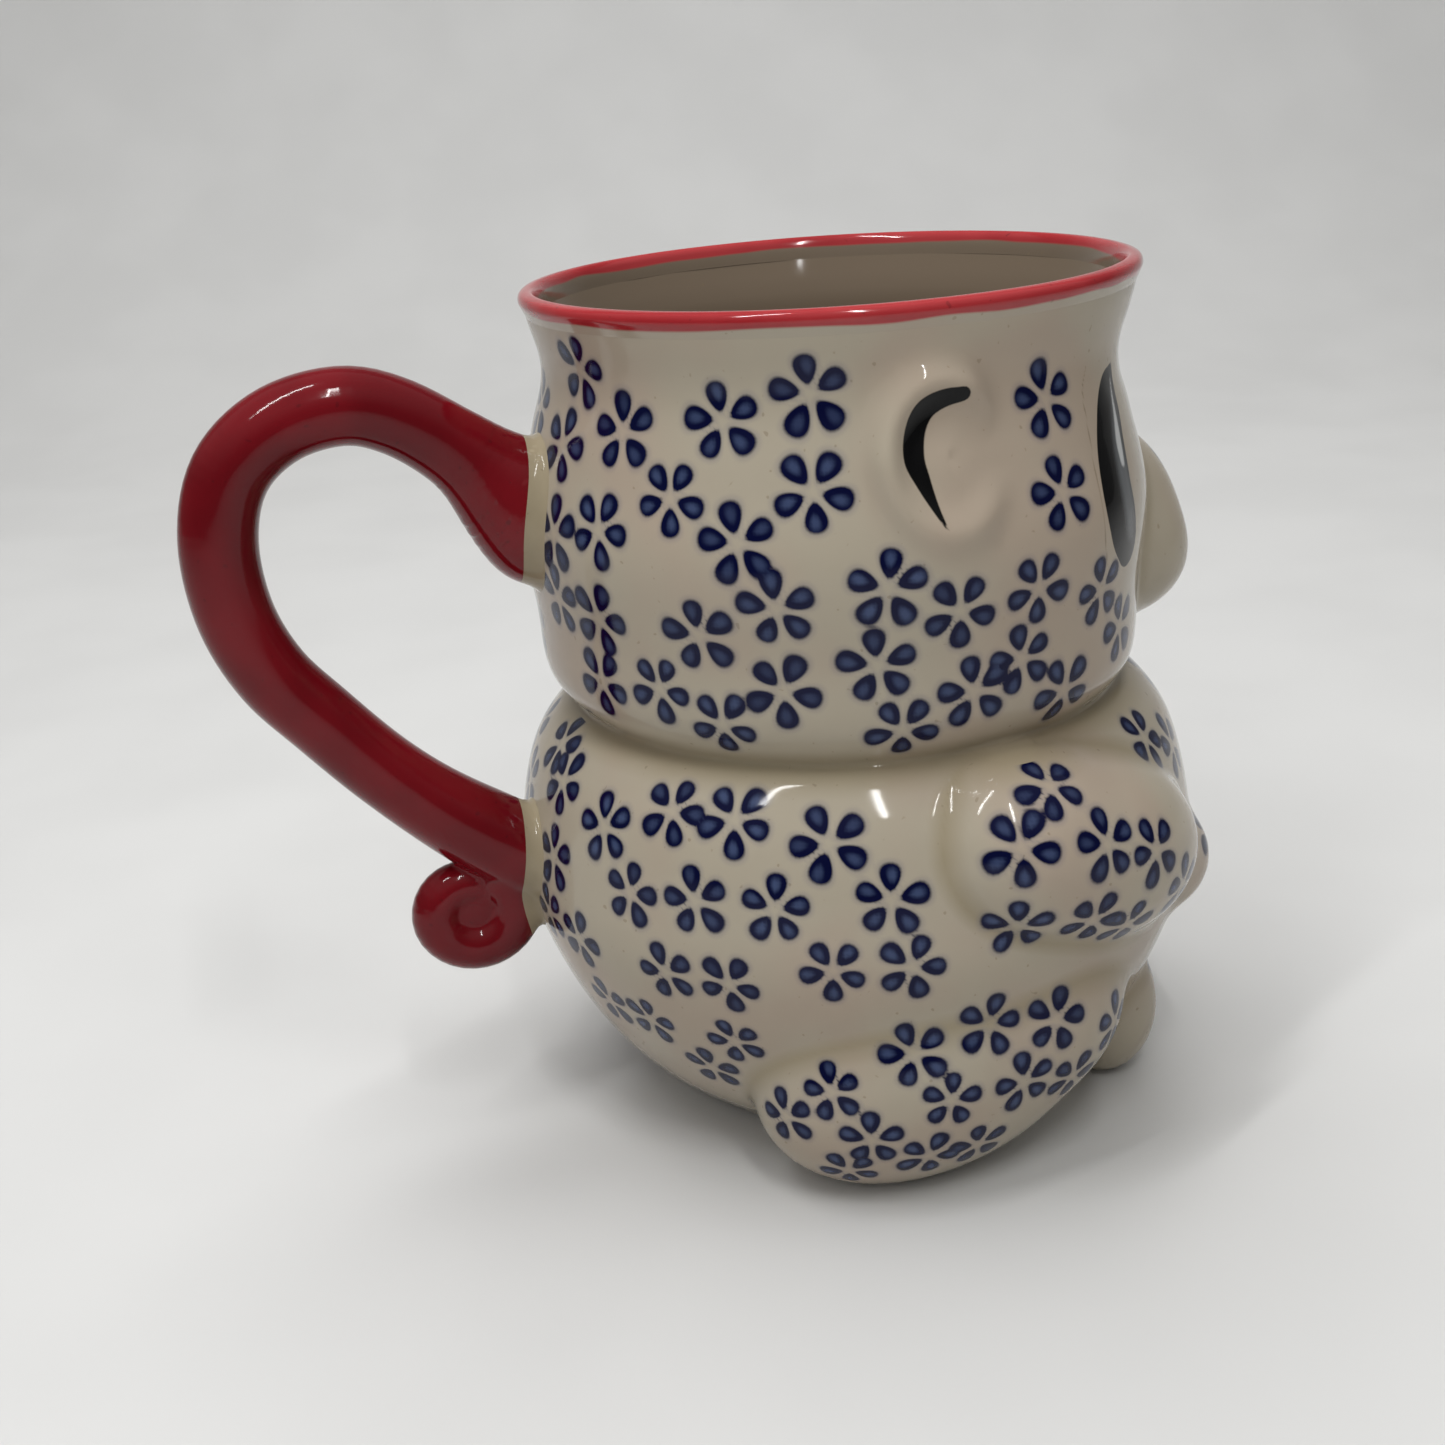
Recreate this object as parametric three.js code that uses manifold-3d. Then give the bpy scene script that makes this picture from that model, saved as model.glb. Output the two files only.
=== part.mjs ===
// Figural stoneware mug: a seated monkey whose tail is the handle.
// Millimetres, +Z up. The origin is on the mug's axis at the resting face, the face looks towards -Y
// and the tail handle stands out towards +Y. The animal's right side is -X.
import * as THREE from "three";
import { mergeVertices } from "three/addons/utils/BufferGeometryUtils.js";
import Module from "manifold-3d";

const wasm = await Module();
wasm.setup();

// ---- driving dimensions -------------------------------------------------------------------------
const GAP = 0.3; // clay joint between two touching pieces
const RIM_TOP = 119; // height of the mug
const RIM_RADIUS = 42; // outside radius of the lip
const LIP_THICKNESS = 3.2;
const LIP_HEIGHT = 3.2;
const WALL = 3.4; // thickness of the cast wall
const FLOOR = 5; // thickness of the floor
const BASE_RADIUS = 27; // flat resting face
const NECK = { radius: 39.7, z: 108.2 };
const HEAD = { radius: 44.7, z: 88 };
const CREASE = { radius: 38.6, z: 61.4 };
const SHOULDER = { radius: 46.8, z: 55.4 };
const BELLY = { radius: 49.2, z: 33.9 };
const HIP = { radius: 44.3, z: 19.9 };
const HANDLE_RADIUS = 5.1;
const HANDLE_ROOT_RADIUS = 8.2; // where the tail flares into its upper collar
const HANDLE_HEEL_RADIUS = 6.2; // where the tail meets its lower collar
const ROUND_SEGMENTS = 44; // facets round the mug
const BLOB_SEGMENTS = 20; // facets round a modelled lump
const TUBE_SIDES = 12;
const SLIVER = 0.02; // detail finer than this is merged away

// ---- colours ------------------------------------------------------------------------------------
const STONEWARE = 0xcdc4b6;
const RIM_RED = 0xb5303c;
const TAIL_RED = 0x8c1a22;

// ---- helpers ------------------------------------------------------------------------------------
function solid(geometry) {
  const bare = new THREE.BufferGeometry();
  bare.setAttribute("position", geometry.getAttribute("position").clone());
  if (geometry.index) bare.setIndex(geometry.index.clone());
  const merged = mergeVertices(bare, 1e-4);
  const mesh = new wasm.Mesh({
    numProp: 3,
    vertProperties: new Float32Array(merged.getAttribute("position").array),
    triVerts: new Uint32Array(merged.index.array),
  });
  return new wasm.Manifold(mesh);
}

function geometryOf(manifold) {
  const mesh = manifold.simplify(SLIVER).getMesh();
  const geometry = new THREE.BufferGeometry();
  geometry.setAttribute("position", new THREE.BufferAttribute(new Float32Array(mesh.vertProperties), 3));
  geometry.setIndex(new THREE.BufferAttribute(new Uint32Array(mesh.triVerts), 1));
  geometry.computeVertexNormals();
  return geometry;
}

function lathe(points, segments) {
  const profile = points.map(([radius, z]) => new THREE.Vector2(radius, z));
  return new THREE.LatheGeometry(profile, segments).rotateX(Math.PI / 2);
}

// An ellipsoid with half-sizes `half`, turned by `turn` (radians about X, Y, Z) and grown by `grow`.
function blob({ at, half, turn = [0, 0, 0] }, grow = 0) {
  const geometry = new THREE.SphereGeometry(1, BLOB_SEGMENTS, BLOB_SEGMENTS / 2).rotateX(Math.PI / 2);
  geometry.scale(half[0] + grow, half[1] + grow, half[2] + grow);
  geometry.applyMatrix4(new THREE.Matrix4().makeRotationFromEuler(new THREE.Euler(...turn)));
  geometry.translate(...at);
  return solid(geometry);
}

function blobs(list, grow = 0) {
  return list.map((item) => blob(item, grow)).reduce((sum, item) => sum.add(item));
}

// The same lump on the other side of the mug.
function mirrored({ at, half, turn = [0, 0, 0] }) {
  return { at: [-at[0], at[1], at[2]], half, turn: [turn[0], -turn[1], -turn[2]] };
}

// A round tube along `curve` whose radius is radiusAt(0..1).
function tube(curve, radiusAt, steps) {
  const section = new THREE.Shape().absarc(0, 0, 1, 0, Math.PI * 2);
  const geometry = new THREE.ExtrudeGeometry(section, {
    steps,
    curveSegments: TUBE_SIDES,
    extrudePath: curve,
    bevelEnabled: false,
  });
  const stations = curve.getSpacedPoints(steps);
  const position = geometry.getAttribute("position");
  const vertex = new THREE.Vector3();
  for (let i = 0; i < position.count; i += 1) {
    vertex.fromBufferAttribute(position, i);
    let nearest = 0;
    stations.forEach((station, k) => {
      if (station.distanceToSquared(vertex) < stations[nearest].distanceToSquared(vertex)) nearest = k;
    });
    vertex.sub(stations[nearest]).multiplyScalar(radiusAt(nearest / steps)).add(stations[nearest]);
    position.setXYZ(i, vertex.x, vertex.y, vertex.z);
  }
  return solid(geometry);
}

// A lump that meets the wall can leave a stray sliver on the far side of a hollow: keep the lump alone.
function mainPiece(manifold) {
  return manifold.decompose().reduce((best, piece) => (piece.volume() > best.volume() ? piece : best));
}

const group = new THREE.Group();
group.name = "monkey_mug";

function addNode(name, manifold, color, roughness) {
  const material = new THREE.MeshStandardMaterial({ color, roughness, metalness: 0 });
  const mesh = new THREE.Mesh(geometryOf(mainPiece(manifold)), material);
  mesh.name = name;
  group.add(mesh);
}

// ---- body wall ----------------------------------------------------------------------------------
function spline(points, count) {
  return new THREE.SplineCurve(points.map(([x, y]) => new THREE.Vector2(x, y)))
    .getPoints(count)
    .map((point) => [point.x, point.y]);
}

// The outer outline from the base up to the underside of the lip, moved outwards by `grow`.
function bellyOutline(grow) {
  const outline = spline(
    [
      [BASE_RADIUS, 0],
      [HIP.radius - 6.8, 9.5],
      [HIP.radius, HIP.z],
      [BELLY.radius, BELLY.z],
      [BELLY.radius - 0.4, 44],
      [SHOULDER.radius - 0.6, SHOULDER.z - 1.5],
      [CREASE.radius + 3.2, CREASE.z - 1.6],
      [CREASE.radius, CREASE.z],
    ],
    13,
  );
  return outline.map(([radius, z]) => [radius + grow, z]);
}

function headOutline(grow) {
  const outline = spline(
    [
      [CREASE.radius, CREASE.z],
      [CREASE.radius + 4.2, CREASE.z + 5.5],
      [HEAD.radius - 1.1, HEAD.z - 12],
      [HEAD.radius, HEAD.z],
      [HEAD.radius - 2.5, HEAD.z + 11],
      [NECK.radius, NECK.z],
      [RIM_RADIUS - 0.9, RIM_TOP - LIP_HEIGHT],
    ],
    12,
  );
  return outline.slice(1).map(([radius, z]) => [radius + grow, z]);
}

function outerSolid(grow) {
  const outline = [[0, -grow], [BASE_RADIUS + grow, -grow], ...bellyOutline(grow), ...headOutline(grow)];
  outline.push([0, RIM_TOP - LIP_HEIGHT]);
  return solid(lathe(outline, ROUND_SEGMENTS));
}

function innerOutline(outer) {
  return outer.map(([radius, z]) => [radius - WALL, z]).reverse();
}

// The lower section: floor and belly, up to the waist crease.
function bellyWall() {
  const outer = bellyOutline(0);
  outer[outer.length - 1][1] = CREASE.z - GAP / 2;
  const inner = innerOutline(outer.filter(([, z]) => z > FLOOR + 3));
  const floor = [[BASE_RADIUS - 3, FLOOR + 0.8], [BASE_RADIUS - 9, FLOOR], [0, FLOOR]];
  return solid(lathe([[0, 0], ...outer, ...inner, ...floor], ROUND_SEGMENTS));
}

// The upper section, from the waist crease to the seat of the lip.
function headWall() {
  const waist = [CREASE.radius, CREASE.z + GAP / 2];
  const outer = [waist, ...headOutline(0)];
  const inner = innerOutline(outer);
  inner[0][0] = RIM_RADIUS - LIP_THICKNESS;
  return solid(lathe([...outer, ...inner, waist], ROUND_SEGMENTS));
}

function rimLip() {
  const half = LIP_THICKNESS / 2;
  const middle = RIM_RADIUS - half;
  const base = RIM_TOP - LIP_HEIGHT + GAP;
  const crown = RIM_TOP - half;
  const arc = [];
  for (let i = 0; i <= 8; i += 1) {
    const angle = (Math.PI * i) / 8;
    arc.push([middle + half * Math.cos(angle), crown + half * Math.sin(angle)]);
  }
  const outline = [[middle - half, base], [middle + half - 0.8, base], ...arc, [middle - half, base]];
  return solid(lathe(outline, ROUND_SEGMENTS));
}

// ---- modelled lumps, given for the animal's right side (-X) --------------------------------------
const MUZZLE = [
  { at: [0, -39.6, 81.6], half: [14, 13.8, 8.2] },
  { at: [0, -39.2, 74], half: [16.5, 14, 9.6] },
];
const EAR_RIM = { at: [-43.6, 2.6, 100.5], half: [4.2, 9, 11.6], turn: [0, 0.1, 0] };
const EAR_BOWL = { at: [-47.2, 0.6, 100], half: [3.4, 6.2, 8.2], turn: [0, 0.1, 0] };
const ARM = [
  { at: [-35.2, -15.7, 45.8], half: [15.8, 23.5, 13.6], turn: [0.3, 0, 0.38] },
  { at: [-40.5, -5.6, 50.5], half: [11.5, 12, 10.8] },
  { at: [-25.2, -34.6, 35], half: [9.5, 9.5, 8.5] },
];
const LEG = [{ at: [-32.5, 1.5, 20], half: [16.5, 28.5, 20.5], turn: [-0.34, 0, 0.05] }];
const FOOT = [{ at: [-21, -29.6, 11.2], half: [9.5, 8, 11.5], turn: [0, 0, 0.3] }];

// Cuts away whatever would go below the resting face.
function aboveGround(manifold) {
  const slab = new THREE.BoxGeometry(300, 300, 60).translate(0, 0, -30);
  return manifold.subtract(solid(slab));
}

const outside = outerSolid(GAP);

function sideOf(list, side) {
  return side === "right" ? list : list.map(mirrored);
}

for (const side of ["right", "left"]) {
  const leg = sideOf(LEG, side);
  const arm = sideOf(ARM, side);
  const foot = sideOf(FOOT, side);
  const ear = blobs(sideOf([EAR_RIM], side)).subtract(blobs(sideOf([EAR_BOWL], side)));
  addNode(`ear_${side}`, ear.subtract(outside), STONEWARE, 0.25);
  addNode(`arm_${side}`, blobs(arm).subtract(outside), STONEWARE, 0.25);
  const thigh = aboveGround(blobs(leg).subtract(outside).subtract(blobs(arm, GAP)));
  addNode(`leg_${side}`, thigh, STONEWARE, 0.25);
  const sole = aboveGround(blobs(foot).subtract(outside).subtract(blobs(leg, GAP)).subtract(blobs(arm, GAP)));
  addNode(`foot_${side}`, sole, STONEWARE, 0.25);
}

addNode("muzzle", blobs(MUZZLE).subtract(outside), STONEWARE, 0.25);
addNode("belly_wall", bellyWall(), STONEWARE, 0.25);
addNode("head_wall", headWall(), STONEWARE, 0.25);
addNode("rim_lip", rimLip(), RIM_RED, 0.2);

// ---- tail handle --------------------------------------------------------------------------------
function planar(points) {
  return new THREE.CatmullRomCurve3(points.map(([y, z]) => new THREE.Vector3(0, y, z)), false, "centripetal");
}

const TAIL_LINE = [
  [42, 90.5], [47, 94.6], [53, 100.6], [60.3, 105.8], [67.2, 107.9], [75.5, 106.3], [82, 101],
  [84.8, 92.5], [84.2, 82.5], [80.8, 73.8], [75.2, 66.4], [68, 57.8], [60.3, 50.3], [50, 42],
];
const CURL_CENTRE = [57.7, 34.4];
const CURL_START = 0.78 * Math.PI; // where the coil leaves the heel
const CURL_SWEEP = 1.42 * Math.PI;
const CURL_PATH_RADIUS = 5.4;
const CURL_TUBE_RADIUS = 4.2;
const COLLAR_OUT = 2.4; // how far a clay collar stands off the wall

function tailRadius(t) {
  const root = Math.exp(-((t / 0.075) ** 2));
  const heel = Math.exp(-(((1 - t) / 0.1) ** 2));
  return HANDLE_RADIUS + (HANDLE_ROOT_RADIUS - HANDLE_RADIUS) * root + (HANDLE_HEEL_RADIUS - HANDLE_RADIUS) * heel;
}

const collarShell = outerSolid(COLLAR_OUT);
const collarFace = outerSolid(COLLAR_OUT + GAP);
const tail = tube(planar(TAIL_LINE), tailRadius, 30);

// The tip comes off the heel, runs down beside the belly, then out and back up round a boss.
function curlLine() {
  const points = [];
  const count = 12;
  for (let i = 0; i <= count; i += 1) {
    const angle = CURL_START + (CURL_SWEEP * i) / count;
    const radius = CURL_PATH_RADIUS - (0.7 * i) / count;
    points.push([CURL_CENTRE[0] + radius * Math.cos(angle), CURL_CENTRE[1] + radius * Math.sin(angle)]);
  }
  return planar(points);
}

function curl() {
  const coil = tube(curlLine(), (t) => CURL_TUBE_RADIUS - 0.7 * t, 20);
  const boss = blob({ at: [0, ...CURL_CENTRE], half: [3.4, 5, 5] });
  return coil.add(boss);
}

const rootReach = { at: [0, 41, 91.5], half: [9.6, 12, 11] };
const heelReach = { at: [0, 43, 37.5], half: [8, 16, 13.4] };
addNode("tail_handle", tail.subtract(collarFace), TAIL_RED, 0.15);
const clearTail = tube(planar(TAIL_LINE), (t) => tailRadius(t) + GAP, 30);
addNode("tail_curl", curl().subtract(collarFace).subtract(clearTail), TAIL_RED, 0.15);
addNode("upper_collar", blob(rootReach).subtract(outside).intersect(collarShell), STONEWARE, 0.25);
addNode("lower_collar", blob(heelReach).subtract(outside).intersect(collarShell), STONEWARE, 0.25);

export default group;
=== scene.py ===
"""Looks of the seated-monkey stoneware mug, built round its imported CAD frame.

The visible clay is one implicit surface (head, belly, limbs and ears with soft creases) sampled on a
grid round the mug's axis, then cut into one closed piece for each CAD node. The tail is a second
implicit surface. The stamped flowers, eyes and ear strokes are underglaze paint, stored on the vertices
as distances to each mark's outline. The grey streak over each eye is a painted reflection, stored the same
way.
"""
import math

import bpy
import numpy as np
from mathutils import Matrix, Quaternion, Vector


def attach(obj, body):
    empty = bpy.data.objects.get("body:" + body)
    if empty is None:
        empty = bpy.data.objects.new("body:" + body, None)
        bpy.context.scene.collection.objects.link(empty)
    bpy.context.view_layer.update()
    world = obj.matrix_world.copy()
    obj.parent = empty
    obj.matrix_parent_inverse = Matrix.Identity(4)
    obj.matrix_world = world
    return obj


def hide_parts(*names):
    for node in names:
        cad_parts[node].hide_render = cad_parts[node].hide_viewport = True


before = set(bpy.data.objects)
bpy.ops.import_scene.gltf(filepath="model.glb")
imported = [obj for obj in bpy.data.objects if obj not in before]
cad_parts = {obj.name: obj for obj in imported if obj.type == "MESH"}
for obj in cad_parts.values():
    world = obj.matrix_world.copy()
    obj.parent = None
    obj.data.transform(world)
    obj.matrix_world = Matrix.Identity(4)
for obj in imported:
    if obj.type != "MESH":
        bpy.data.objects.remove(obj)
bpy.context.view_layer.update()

MM = 0.001

# ---- driving sizes, millimetres, as in the CAD ----
RIM_TOP = 119.0
RIM_RADIUS = 42.0
LIP_THICKNESS = 3.2
WALL = 3.4
FLOOR = 5.0
GRID_STEP = 0.5  # vertex spacing along the outline
GRID_COLUMNS = 560  # vertices round the mug

BELLY_OUTLINE = [
    (27, 0), (37.5, 9.5), (44.3, 19.9), (49.2, 33.9), (48.8, 44), (46.2, 53.9), (41.8, 59.8), (38.6, 61.4),
]
HEAD_OUTLINE = [
    (38.6, 61.4), (42.8, 66.9), (43.6, 76), (44.7, 88), (42.2, 99), (39.7, 108.2), (41.1, 115.8),
]


# ---- small maths ----
def smoothstep(low, high, x):
    t = np.clip((x - low) / (high - low), 0.0, 1.0)
    return t * t * (3.0 - 2.0 * t)


def smooth_min(a, b, k):
    """The lower of a and b, with a fillet of about k where they meet."""
    h = np.clip(0.5 + 0.5 * (b - a) / k, 0.0, 1.0)
    return b + (a - b) * h - k * h * (1.0 - h)


def spline(points, count):
    """A Catmull-Rom curve through the points, with evenly spaced parameters."""
    p = np.array(points, float)
    p = np.vstack([2 * p[0] - p[1], p, 2 * p[-1] - p[-2]])
    t = np.linspace(0, len(points) - 1, count)
    i = np.minimum(t.astype(int), len(points) - 2)
    u = (t - i)[:, None]
    a, b, c, d = p[i], p[i + 1], p[i + 2], p[i + 3]
    return 0.5 * (2 * b + (c - a) * u + (2 * a - 5 * b + 4 * c - d) * u**2 + (3 * b - a - 3 * c + d) * u**3)


def resample(path, step):
    """The path with points about `step` apart."""
    length = np.concatenate([[0], np.cumsum(np.linalg.norm(np.diff(path, axis=0), axis=1))])
    count = max(2, int(round(length[-1] / step)) + 1)
    at = np.linspace(0, length[-1], count)
    return np.column_stack([np.interp(at, length, path[:, k]) for k in range(path.shape[1])])


def soften(path, reach, step):
    """Rounds a path's corners over about `reach` millimetres, keeping its ends."""
    span = int(4 * reach / step)
    weights = np.exp(-0.5 * (np.arange(-span, span + 1) * step / reach) ** 2)
    weights /= weights.sum()
    before = 2 * path[0] - path[1:span + 1][::-1]
    after = 2 * path[-1] - path[-span - 1:-1][::-1]
    padded = np.vstack([before, path, after])
    return np.column_stack([np.convolve(padded[:, k], weights, "valid") for k in range(path.shape[1])])


NOISE_CELLS = 32


def value_noise(points, scale, seed):
    """Smooth noise from -1 to 1 at points (n, 3), with features about `scale` across."""
    rng = np.random.default_rng(seed)
    table = rng.uniform(-1, 1, (NOISE_CELLS,) * 3)
    q = points / scale
    cell = np.floor(q).astype(int)
    f = q - cell
    f = f * f * (3 - 2 * f)
    total = np.zeros(len(points))
    for dx in (0, 1):
        for dy in (0, 1):
            for dz in (0, 1):
                weight = (
                    (f[:, 0] if dx else 1 - f[:, 0])
                    * (f[:, 1] if dy else 1 - f[:, 1])
                    * (f[:, 2] if dz else 1 - f[:, 2])
                )
                x, y, z = ((cell + (dx, dy, dz)) % NOISE_CELLS).T
                total += weight * table[x, y, z]
    return total


# ---- the outline that the mug is turned to ----
OUTLINE_STEP = 0.1
WAIST_SOFTNESS = 0.75


def body_outline():
    """Points of (radius, height) from the foot to the lip."""
    belly = spline(BELLY_OUTLINE, 400)
    head = spline(HEAD_OUTLINE, 400)[1:]
    fine = resample(np.vstack([belly, head]), OUTLINE_STEP)
    return soften(fine, WAIST_SOFTNESS, OUTLINE_STEP)


OUTLINE = body_outline()


def body_radius(z):
    return np.interp(z, OUTLINE[:, 1], OUTLINE[:, 0])


RISING = np.maximum.accumulate(OUTLINE[:, 1]) + np.arange(len(OUTLINE)) * 1e-9
OUTLINE_SLOPE = np.gradient(OUTLINE[:, 0], RISING)


def body_distance(r, z):
    """Distance from the turned outline, negative inside it."""
    slope = np.interp(z, OUTLINE[:, 1], OUTLINE_SLOPE)
    return (r - body_radius(z)) / np.sqrt(1 + np.clip(slope, -3, 3) ** 2)


# ---- modelled lumps, for the animal's right side (-X) ----
def rotation(turn):
    """Three.js Euler order XYZ."""
    cx, cy, cz = np.cos(turn)
    sx, sy, sz = np.sin(turn)
    rx = np.array([[1, 0, 0], [0, cx, -sx], [0, sx, cx]])
    ry = np.array([[cy, 0, sy], [0, 1, 0], [-sy, 0, cy]])
    rz = np.array([[cz, -sz, 0], [sz, cz, 0], [0, 0, 1]])
    return rx @ ry @ rz


def ellipsoid(p, at, half, turn=(0, 0, 0)):
    """Distance to an ellipsoid, close to exact near its surface."""
    q = (p - np.array(at)) @ rotation(turn)
    half = np.array(half, float)
    k0 = np.linalg.norm(q / half, axis=1)
    k1 = np.linalg.norm(q / half**2, axis=1)
    return k0 * (k0 - 1) / np.maximum(k1, 1e-9)


def joined(p, lumps, k):
    """Distance to several ellipsoids of clay pressed together."""
    total = ellipsoid(p, *lumps[0])
    for lump in lumps[1:]:
        total = smooth_min(total, ellipsoid(p, *lump), k)
    return total


ARM = [
    ((-35.2, -15.7, 45.3), (16.6, 23.5, 14.2), (0.3, 0, 0.38)),
    ((-39.9, -6.4, 49.2), (12.8, 12.8, 12.2)),
    ((-25.0, -34.2, 35.2), (10.0, 10.0, 8.8)),
]
LEG = [
    ((-32.5, 1.0, 19.0), (17.0, 27.5, 19.2), (-0.34, 0, 0.05)),
    ((-32.0, -10.0, 23.0), (16.0, 15.0, 13.5), (0, 0, 0.2)),
]
FOOT = [((-21, -29.6, 11.2), (9.5, 8.2, 11.8), (0, 0, 0.3))]
MUZZLE = [
    ((0, -37.4, 83), (13.0, 12.4, 11.0)),
    ((0, -39.2, 74.5), (16.5, 14.0, 11.0)),
]
LIMBS = (("arm", ARM, 4.0), ("leg", LEG, 4.0), ("foot", FOOT, 1.0), ("muzzle", MUZZLE, 7.0))  # with fillets
ARM_FILLET = 1.7
LEG_FILLET = 2.0
FOOT_FILLET = 1.6
MUZZLE_FILLET = 3.0

EAR_ANGLE = 92.0  # degrees round from the face
EAR_HEIGHT = 100.5
EAR_HALF = (9.0, 11.2)
EAR_RIM_HEIGHT = 2.3
EAR_PAD_HEIGHT = 0.75
EAR_SHOULDER_HEIGHT = 0.25
FACE_PRESS = 1.9
FACE_SIDES = (26.0, 66.0)  # degrees from the middle of the face where the pressing fades out
FACE_BOTTOM = (58.0, 70.0)
FACE_TOP = (102.0, 113.0)


def ear_relief(angle, z, radius):
    """Height of the ear over the head: a soft C-shaped rim, open towards the face, round a shallow bowl."""
    u = np.radians(EAR_ANGLE - angle) * radius / EAR_HALF[0]
    v = (z - EAR_HEIGHT) / EAR_HALF[1]
    rho = np.hypot(u, v)
    turn = np.arctan2(v, u)
    open_side = smoothstep(0.15, 1.25, np.abs(turn))
    fade = 0.45 + 0.55 * smoothstep(-1.0, 0.2, v)
    rim = np.exp(-(((rho - 0.8) / 0.23) ** 2)) * open_side * fade
    pad = np.exp(-((np.hypot(u - 0.12, v + 0.05) / 0.52) ** 2))
    shoulder = 1 - smoothstep(0.72, 1.2, rho)
    return EAR_RIM_HEIGHT * rim + EAR_PAD_HEIGHT * pad + EAR_SHOULDER_HEIGHT * shoulder * open_side


def face_press(p):
    """How far the round wall is pressed in over the face, between the eyes and above the muzzle."""
    from_face = np.degrees(np.arctan2(np.abs(p[:, 0]), -p[:, 1]))
    sides = 1 - smoothstep(*FACE_SIDES, from_face)
    return FACE_PRESS * sides * smoothstep(*FACE_BOTTOM, p[:, 2]) * (1 - smoothstep(*FACE_TOP, p[:, 2]))


def clay_distances(p):
    """Distance to each group of clay, for points with x <= 0."""
    r = np.hypot(p[:, 0], p[:, 1]) + face_press(p)
    return {"wall": body_distance(r, p[:, 2])} | {name: joined(p, lumps, k) for name, lumps, k in LIMBS}


def clay(p):
    """Distance to the whole outer surface, with a fillet where each limb meets the wall."""
    d = clay_distances(p)
    total = smooth_min(d["wall"], d["leg"], LEG_FILLET)
    total = smooth_min(total, d["foot"], FOOT_FILLET)
    total = smooth_min(total, d["arm"], ARM_FILLET)
    return smooth_min(total, d["muzzle"], MUZZLE_FILLET)


# ---- the outer surface on a grid of rows (up the outline) and columns (round the mug) ----
FOOT_ROUND = 1.3  # rounding of the bottom edge
SEARCH_REACH = 14.0  # further out than any lump of clay stands from the wall
SEARCH_STEPS = 48
SEARCH_CAUTION = 0.8
SEARCH_CLOSE = 0.004
UNEVENNESS = ((0.10, 17.0, 3), (0.04, 6.0, 4))  # height of hand-made waves, their spread and a seed
ANGLES = np.arange(GRID_COLUMNS) * 360.0 / GRID_COLUMNS  # 0 is the face, 90 the animal's right side
HALF = GRID_COLUMNS // 2 + 1


def around(radius, z, angle):
    a = np.radians(angle)
    return np.stack(np.broadcast_arrays(-radius * np.sin(a), -radius * np.cos(a), z), -1)


def mirror_columns(half_grid):
    """The columns from 0 to 180 degrees, repeated for the other side."""
    return np.concatenate([half_grid, half_grid[:, -2:0:-1]], axis=1)


def outer_rows():
    """Heights of the grid's rows, evenly spaced along the outline."""
    rows = resample(OUTLINE, GRID_STEP)
    rows[0, 1] = 0.0
    return rows[:, 1]


def trace(z_rows):
    """Radius of the clay along each horizontal ray towards the axis, for the half with x <= 0."""
    angle = np.broadcast_to(ANGLES[:HALF], (len(z_rows), HALF)).ravel()
    z = np.broadcast_to(z_rows[:, None], (len(z_rows), HALF)).ravel()
    radius = body_radius(z) + SEARCH_REACH
    active = np.arange(len(radius))
    for _ in range(SEARCH_STEPS):
        step = clay(around(radius[active], z[active], angle[active]))
        radius[active] -= step * SEARCH_CAUTION
        active = active[np.abs(step) > SEARCH_CLOSE]
        if len(active) == 0:
            break
    return radius.reshape(len(z_rows), HALF)


Z_ROWS = outer_rows()
BASE_RADIUS_ROWS = body_radius(Z_ROWS)


def sculpt():
    """The outer radius, the ears' relief and the distances to each kind of clay, all on the grid."""
    half = trace(Z_ROWS)
    angle = np.broadcast_to(ANGLES[:HALF], half.shape)
    z = np.broadcast_to(Z_ROWS[:, None], half.shape)
    ear = ear_relief(angle, z, BASE_RADIUS_ROWS[:, None])
    points = around(half, z, angle).reshape(-1, 3)
    distances = {name: d.reshape(half.shape) for name, d in clay_distances(points).items()}
    radius = mirror_columns(half + ear)
    flat = around(radius, Z_ROWS[:, None], ANGLES).reshape(-1, 3)
    waves = sum(height * value_noise(flat, spread, seed) for height, spread, seed in UNEVENNESS)
    radius = radius + waves.reshape(radius.shape)
    drop = np.clip(FOOT_ROUND - Z_ROWS, 0, None)
    radius = radius - (FOOT_ROUND - np.sqrt(FOOT_ROUND**2 - drop**2))[:, None]
    return radius, mirror_columns(ear), {k: mirror_columns(v) for k, v in distances.items()}


RADIUS, EAR, DISTANCES = sculpt()
SURFACE = around(RADIUS, Z_ROWS[:, None], ANGLES)


def grid_normals(surface):
    across = np.roll(surface, -1, axis=1) - np.roll(surface, 1, axis=1)
    up = np.gradient(surface, axis=0)
    n = np.cross(up, across)
    return n / np.maximum(np.linalg.norm(n, axis=2, keepdims=True), 1e-12)


NORMALS = grid_normals(SURFACE)


# ---- which clay each vertex belongs to ----
WAIST = 61.4
WAIST_ROW = int(np.argmin(np.abs(Z_ROWS - WAIST)))
LUMPS = (
    "arm_right", "arm_left", "leg_right", "leg_left", "foot_right", "foot_left",
    "ear_right", "ear_left", "muzzle",
)
EAR_EDGE = 0.12  # relief that counts as ear
UNDER_DEPTH = 0.4  # how far the turned wall lies beneath the lumps
LUMP_GAP = 0.1  # between a lump and the wall under it


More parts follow.
